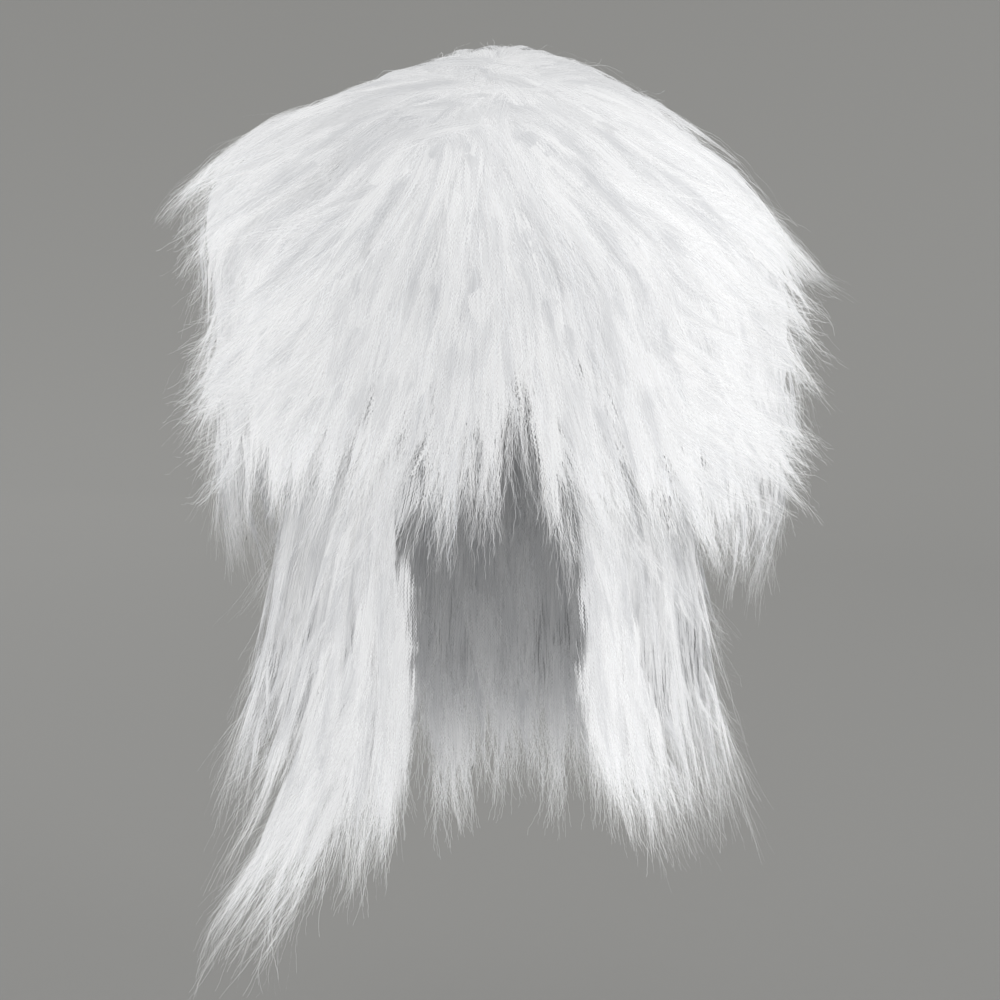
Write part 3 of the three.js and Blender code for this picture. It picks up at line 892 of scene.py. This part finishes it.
def plan_locks(row, rng):
    """A value of each kind for every lock of one part of the hair."""
    count = row["locks"]
    start, end = np.radians(row["arc"])
    crowd = FRONT_CROWD if abs(row["arc"][0]) < 60 < abs(row["arc"][1]) else 1
    azimuth = start + (end - start) * ((rng.permutation(count) + rng.random(count)) / count) ** crowd
    tips = tip_along[row["tips"]]
    hem = np.interp(wrap(azimuth), AZIMUTHS, least_near(tips, 1) if row["tips"] == "fringe" else tips)
    at_edge = rng.random(count) < row["edge"]
    over = row["first"] + (hem - row["first"]) * np.sqrt(rng.uniform(0.03, 0.90, count))
    tip = np.where(at_edge, hem * rng.uniform(*row.get("reach", (0.98, 1.03)), count), over)
    root = np.maximum(tip - rng.uniform(*row["run"], count), row["first"] + 0.2 * rng.random(count))
    swing = np.radians(rng.normal(*row.get("swing", (0, 3)), count))
    if "meet" in row:
        swing = swing + 0.75 * (math.radians(row["meet"]) - azimuth)
    return {
        "azimuth": azimuth,
        "drift": drift_most(azimuth),
        "root": root,
        "tip": np.maximum(tip, root + 0.25),
        "at_edge": at_edge,
        "sunk": rng.uniform(*row.get("sunk", (0, 2)), count) * MM,
        "lift": rng.normal(*row["lift"], count) * MM * np.clip(tip / 1.2, 0.3, 1),
        "swing": swing,
        "phase": rng.uniform(0, 2 * math.pi, count),
        "shade": rng.random(count),
    }


def on_face(row, own, run, swing, below, lift):
    """Lines on the face of one part of the hair, with the ways across and out of it."""
    along = own["root"] + (own["tip"] - own["root"]) * run
    azimuth = own["azimuth"] + swing * run**2 + math.pi * (along < 0)
    along = np.maximum(np.abs(along), 0.01)
    azimuth = azimuth - own["drift"] * (drift_share(own["tip"]) - drift_share(along))
    outward = -1 if row["face"].endswith("_inside") else 1
    rise = look_up(faces[row["face"]], azimuth, along) + outward * (lift - below)
    rise = np.where(along < 1.75, np.maximum(rise, LOWEST_RISE), rise)
    lines, out = flow_points(azimuth, along, rise)
    out = out * outward
    return lines, unit(np.cross(np.gradient(lines, axis=1), out)), out, along


def lay_sheets(row, plan, rng):
    """One mesh of a curved sheet for every lock of one part."""
    own = {name: values[:, None] for name, values in plan.items()}
    run = np.linspace(0, 1, SHEET_RINGS)[None, :]
    below = own["sunk"] + ROOT_DIVE * (1 - ease(run / 0.3))
    lines, across, out, along = on_face(row, own, run, own["swing"], below, own["lift"] * run**2)
    scatter = rng.normal(0, WHORL_SCATTER, (row["locks"], 2, 1)) * (1 - ease(along / 0.5))[:, None, :]
    lines = lines + across * scatter[:, 0][..., None] + np.cross(out, across) * scatter[:, 1][..., None]
    length = lengths_of(lines)
    lines = lines + across * (2 * MM * np.sin(2 * math.pi * length / 0.09 + own["phase"]) * run)[..., None]
    half = row["spread"] * MM * rng.uniform(0.8, 1.3, (row["locks"], 1))
    half = half * (0.6 + 0.4 * ease(run / 0.3)) * (1 - (1 - row["gather"]) * ease((run - 0.3) / 0.7))
    aside = half[..., None] * SHEET_ASIDE
    fall = SHEET_ROUND * half[..., None] * SHEET_ASIDE**2
    points = lines[:, :, None] + across[:, :, None] * aside[..., None] - out[:, :, None] * fall[..., None]
    facing = unit(out[:, :, None] + across[:, :, None] * (LOCK_ROUND * SHEET_ASIDE)[:, None])
    piece = grid_mesh(row["part"] + "_locks", points, facing, lock_finish)
    sheet = np.zeros(points.shape)
    sheet[..., 0] = row["spread"] * MM * SHEET_ASIDE + np.arange(row["locks"])[:, None, None] * STRAND_APART
    sheet[..., 1] = length[..., None]
    sheet[..., 2] = own["shade"][..., None]
    store(piece, "sheet", sheet)
    at_root = 1.2 * (1 - ease(run / 0.40))
    at_tip = 1.1 * (1 - row.get("solid", 0)) * np.clip((run - 0.30) / 0.70, 0, 1) ** 1.2
    at_side = 1.0 * np.clip((np.abs(SHEET_ASIDE) - 0.1) / 0.9, 0, 1)
    spread_open = (at_root + at_tip)[..., None] + at_side - 0.05
    store(piece, "open", np.broadcast_to(spread_open, points.shape[:3]))
    return piece


lock_plans = []
for seed, row in enumerate(LOCK_PLAN):
    rng = np.random.default_rng(seed)
    lock_plans.append(plan_locks(row, rng))
    sheets = lay_sheets(row, lock_plans[-1], rng)
    take(sheets)
    print(sheets.name, row["locks"], "locks", len(sheets.data.polygons) * 2, "triangles")

# %% [markdown]
# Fine strands fray the lower half of every lock, most of all at the hems.
# A strand gets a place in its lock's bundle and a length of its own.
# It shares a slow wave with its neighbours, and has a crimp that is its own.
# The crimp turns back at each point of the strand, by a little more or less each time.
# Close to the whorl the strands are scattered, because there they would otherwise all meet in one point.

# %% Comb the strands
STRAND_ROUND = 0.15
SLOW_WAVE = 0.070
QUICK_WAVE = (0.024, 0.040)


def comb(row, plan, rng):
    """The lines of one part's fine strands, the ways across and out of each ribbon, and its lock."""
    lock = np.repeat(np.arange(row["locks"]), np.where(plan["at_edge"], *row.get("strands", FINE["strands"])))
    own = {name: values[lock][:, None] for name, values in plan.items()}
    count, rings = len(lock), FINE["rings"]
    own["root"] = own["root"] + rng.normal(0, 0.05, (count, 1))
    share = np.linspace(0, 1, rings)[None, :]
    start = rng.uniform(*row.get("start", FINE["start"]), (count, 1))
    run = start + (rng.uniform(*FINE["end"], (count, 1)) - start) * share
    swing = own["swing"] + np.radians(rng.normal(0, 1 + 0.5 * row.get("loose", 1), (count, 1)))
    around = rng.uniform(0, 2 * math.pi, (count, 1))
    off = np.sqrt(rng.random((count, 1)))
    bundle = row["spread"] * MM * (1 - (1 - row["gather"]) * ease(run))
    stray = (rng.random((count, 1)) < FINE["stray"]) * rng.uniform(1, 6, (count, 1)) * MM
    below = own["sunk"] + rng.uniform(*FINE["depth"], (count, 1)) * MM + ROOT_DIVE * (1 - ease(share / 0.35))
    lift = (own["lift"] + rng.normal(0, row.get("loose", 1), (count, 1)) * MM) * run**2 + stray * share
    lift = lift + off * np.sin(around) * bundle * 0.25
    lines, across, out, along = on_face(row, own, run, swing, below, lift)

    length = lengths_of(lines)
    slow = np.sin(2 * math.pi * (length / SLOW_WAVE + run) + own["phase"])
    quick = np.sin(2 * math.pi * length / rng.uniform(*QUICK_WAVE, (count, 1)) + 2 * own["phase"] + around)
    turn = np.where(np.arange(rings) % 2, 1, -1) * rng.normal(1, 0.5, (count, rings)) * FINE["crimp"]
    loose = ease(run * 1.5)
    sway = off * np.cos(around) * bundle + (1.2 * slow + 0.6 * quick) * MM * loose + turn * MM
    sway = sway + stray * rng.normal(0, 0.8, (count, 1)) * share
    bob = (0.4 * np.roll(quick, 2, 1) * loose + 0.6 * FINE["crimp"] * rng.normal(0, 1, (count, rings))) * MM
    scatter = rng.normal(0, WHORL_SCATTER, (count, 2, 1)) * (1 - ease(along / 0.45))[:, None, :]
    lines = lines + across * (sway + scatter[:, 0])[..., None] + out * bob[..., None]
    lines = lines + np.cross(out, across) * scatter[:, 1][..., None]
    roll = np.clip(rng.normal(0, 0.3, (count, 1)) + 0.3 * share * rng.normal(0, 1, (count, 1)), -0.9, 0.9)
    blade = across * np.cos(roll)[..., None] + out * np.sin(roll)[..., None]
    facing = unit(out + across * (STRAND_ROUND * off * np.cos(around))[..., None])
    return lines, blade, facing, lock


for seed, row in enumerate(LOCK_PLAN):
    rng = np.random.default_rng(100 + seed)
    lines, blade, facing, lock = comb(row, lock_plans[seed], rng)
    taper = 1 - FINE["slim"] * ease((np.linspace(0, 1, FINE["rings"]) - 0.35) / 0.65)
    width = FINE["width"] * MM * rng.uniform(0.6, 1.3, (len(lines), 1)) * taper
    shade = np.clip(rng.normal(0.5, 0.18, len(lines)) + 0.2 * (lock_plans[seed]["shade"][lock] - 0.5), 0, 1)
    piece = ribbon_mesh(row["part"] + "_strands", lines, blade, facing, width, shade)
    take(piece)
    print(piece.name, len(lines), "strands", len(piece.data.polygons) * 2, "triangles")

# %% [markdown]
# A few short hairs always escape.
# They stand off the outline as thin curls, and soften its edge against the backdrop.
# Each starts just under the outer face, above the tips.
# It curls away a little along the flow and a little outwards.

# %% Flyaway hairs
FLYAWAYS = 1600
FLY_RINGS = 10
FLY_WIDTH = 0.2 * MM
FLY_LENGTH = (7 * MM, 22 * MM)
LONG_SHARE = 0.3
LONG_FROM_DEG = 44

rng = np.random.default_rng(77)
share = np.linspace(0, 1, FLY_RINGS)[None, :]
hanging = rng.random((FLYAWAYS, 1)) < LONG_SHARE
turned = rng.uniform(0, 1, (FLYAWAYS, 1)) * 2 - 1
widest = math.pi - math.radians(LONG_FROM_DEG)
fly_azimuth = np.where(hanging, math.pi + turned * widest, turned * math.pi)
wrapped = wrap(fly_azimuth)
long_tip = np.min([tip_along[node] for node in LONG_NODES], axis=0)
mantle_tip = np.where(np.abs(AZIMUTHS) < math.radians(46), tip_along["fringe"], 2.4)
last = np.where(hanging, np.interp(wrapped, AZIMUTHS, long_tip), np.interp(wrapped, AZIMUTHS, mantle_tip))
fly_along = np.where(hanging, 2.5, 0.05)
fly_along = fly_along + (last - 0.15 - fly_along) * np.sqrt(rng.random((FLYAWAYS, 1)))
on_long = look_up(long_face, fly_azimuth, fly_along)
fly_rise = np.where(hanging, on_long, look_up(mantle_face, fly_azimuth, fly_along))
start, out = flow_points(fly_azimuth, fly_along, fly_rise - 2 * MM)
ahead, _ = flow_points(fly_azimuth, fly_along + 0.03, fly_rise)
heading = unit(ahead - start)
across = unit(np.cross(heading, out))
reach = rng.uniform(*FLY_LENGTH, (FLYAWAYS, 1))
stray = rng.normal(0, 0.4, (FLYAWAYS, 1))
curl = rng.uniform(0.6, 1.6, (FLYAWAYS, 1)) * 2 * math.pi * share + rng.uniform(0, 6.3, (FLYAWAYS, 1))
leave = reach * rng.uniform(0.1, 0.45, (FLYAWAYS, 1)) * share
lines = start + heading * (reach * share * 0.8)[..., None]
lines = lines + out * (leave + np.sin(curl) * 1.5 * MM * share)[..., None]
lines = lines + across * (reach * stray * share + np.cos(curl) * 1.8 * MM * share)[..., None]
width = FLY_WIDTH * np.ones((FLYAWAYS, 1)) * (1 - 0.5 * share)
blades = np.repeat(across, FLY_RINGS, 1)
facing = np.repeat(out, FLY_RINGS, 1)
flyaways = ribbon_mesh("flyaway_hairs", lines, blades, facing, width, rng.random(FLYAWAYS))
take(flyaways)
print(flyaways.name, FLYAWAYS, "hairs")

# %% [markdown]
# The cap is a thin stretch net that the hair is sewn to. It shows only from below, through the open face.
# A rounded copy of its solid keeps the true wall.
# A fine woven bump that follows the flow stands for the net.

# %% Cap
NET_ROUND = 130.0
THREAD = (0.80, 0.79, 0.76, 1)
BETWEEN_THREADS = (0.60, 0.59, 0.57, 1)

cap = smooth_copy("wig_cap", "cap_shell")
cap_azimuth, cap_along, _ = flow_of(places_of(cap.data))
store_flow(cap.data, cap_azimuth, cap_along)
net_finish, tree, shader = start_finish("cap_net", 0.75, 0.5)
flow_data = add_node(tree, "ShaderNodeAttribute", attribute_name="flow")
mesh_cells = add_node(tree, "ShaderNodeTexVoronoi", Scale=NET_ROUND, feature="DISTANCE_TO_EDGE")
mesh_cells.inputs["Randomness"].default_value = 0.25
tree.links.new(flow_data.outputs["Vector"], mesh_cells.inputs["Vector"])
threads = add_node(tree, "ShaderNodeValToRGB", Fac=mesh_cells.outputs["Distance"])
threads.color_ramp.elements[0].color = THREAD
threads.color_ramp.elements[1].position = 0.14
threads.color_ramp.elements[1].color = BETWEEN_THREADS
tree.links.new(threads.outputs["Color"], shader.inputs["Base Color"])
weave = add_node(tree, "ShaderNodeBump", Strength=0.6, Distance=0.0006, invert=True)
tree.links.new(mesh_cells.outputs["Distance"], weave.inputs["Height"])
tree.links.new(weave.outputs[0], shader.inputs["Normal"])
cap.data.materials.append(net_finish)
take(cap, "wig_cap")
print(cap.name, len(cap.data.polygons), "faces")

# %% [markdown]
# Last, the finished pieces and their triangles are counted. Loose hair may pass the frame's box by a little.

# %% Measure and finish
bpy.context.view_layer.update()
triangles = sum(len(p.vertices) - 2 for piece in pieces for p in piece.data.polygons)
print(len(pieces), "pieces", triangles, "triangles")
